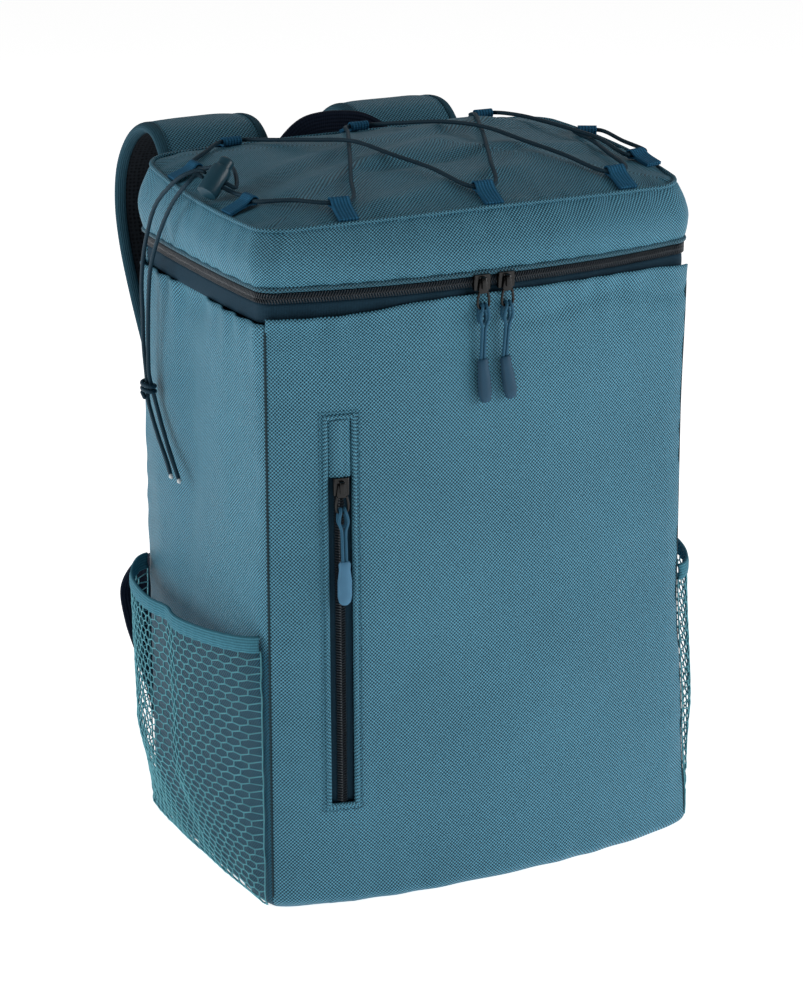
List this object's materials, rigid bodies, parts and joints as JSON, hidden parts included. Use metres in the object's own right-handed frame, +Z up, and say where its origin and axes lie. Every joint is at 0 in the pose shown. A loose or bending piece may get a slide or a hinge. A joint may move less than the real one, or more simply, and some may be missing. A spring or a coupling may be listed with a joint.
{
  "type": "insulated cooler backpack",
  "caption": "Box-shaped insulated backpack with a laced zip-round lid, an upright front pocket zip, net side pockets, padded shoulder straps and a grab handle.",
  "frame": {"origin": "middle of the base's underside, on the surface that the bag stands on", "axes": "+Z up, -Y towards the front with the upright pocket zip, +X to the right of the bag seen from its front"},
  "size_m": [0.3418, 0.3234, 0.4306],
  "materials": {
    "cloth": "woven polyester",
    "lid_cloth": "woven polyester",
    "zip_tape": "woven tape",
    "zip_coil": "satin",
    "zip_metal": "gloss",
    "pull_end": "satin",
    "pale_pull_end": "satin",
    "net": "knitted net",
    "elastic": "ribbed",
    "lace": "braided",
    "plastic": "satin",
    "strap_cloth": "woven polyester",
    "webbing": "ribbed webbing"
  },
  "bodies": {
    "bag": {"front_panel": "cloth", "back_panel": "cloth", "side_panel_left": "cloth", "side_panel_right": "cloth", "base_panel": "cloth", "main_zip_tape_lower": "zip_tape", "main_zip_coil": "zip_coil", "main_zip_tape_upper": "zip_tape", "lid_hinge": "cloth", "lid_band": "cloth", "lid_top": "lid_cloth", "pocket_welt": "cloth", "pocket_zip_tape": "zip_tape", "pocket_zip_coil": "zip_coil", "pocket_garage": "cloth", "main_left_slider": "zip_metal", "main_right_slider": "zip_metal", "pocket_slider": "zip_metal", "net_pocket_left": "net", "pocket_binding_left": "elastic", "net_pocket_right": "net", "pocket_binding_right": "elastic", "lace_loop_left_front": "elastic", "lace_loop_front_left": "elastic", "lace_loop_back_middle": "elastic", "lace_loop_front_right": "elastic", "lace_loop_right_back": "elastic", "lace_loop_right_front": "elastic", "lace_loop_back_right": "elastic", "lace_loop_front_middle": "elastic", "lace_loop_back_left": "elastic", "lace_loop_left_back": "elastic", "lace_cord": "lace", "cord_lock_barrel": "plastic", "tail_a_upper": "lace", "tail_a_lower": "lace", "tail_b_upper": "lace", "tail_b_lower": "lace", "tail_knot": "lace", "shoulder_strap_left": "strap_cloth", "strap_keeper_left": "webbing", "ladder_lock_left": "plastic", "lower_webbing_left": "webbing", "shoulder_strap_right": "strap_cloth", "strap_keeper_right": "webbing", "ladder_lock_right": "plastic", "lower_webbing_right": "webbing", "grab_handle": "webbing"},
    "lock_plunger": {"cord_lock_plunger": "plastic"},
    "main_left_pull": {"main_left_tab": "zip_metal", "main_left_pull_cord": "lace", "main_left_pull_end": "pull_end"},
    "main_right_pull": {"main_right_tab": "zip_metal", "main_right_pull_cord": "lace", "main_right_pull_end": "pull_end"},
    "pocket_pull": {"pocket_tab": "zip_metal", "pocket_pull_cord": "lace", "pocket_pull_end": "pale_pull_end"}
  },
  "joints": [
    {"name": "plunger_press", "type": "slide", "parent": "bag", "child": "lock_plunger", "axis": [-0.6808, -0.2703, -0.6808], "range_m": [0, 0.003], "stiffness_N_per_m": 500, "springref_m": -0.001},
    {"name": "main_left_pull_swing", "type": "hinge", "parent": "bag", "child": "main_left_pull", "pos_m": [-0.00747, -0.10847, 0.36675], "axis": [-1, 0.0054, 0], "range_deg": [0, 75]},
    {"name": "main_right_pull_swing", "type": "hinge", "parent": "bag", "child": "main_right_pull", "pos_m": [0.00787, -0.10848, 0.36675], "axis": [-1, -0.0045, 0], "range_deg": [0, 75]},
    {"name": "pocket_pull_swing", "type": "hinge", "parent": "bag", "child": "pocket_pull", "pos_m": [-0.09362, -0.10308, 0.2575], "axis": [-0.9844, 0.1761, 0], "range_deg": [0, 75]}
  ]
}
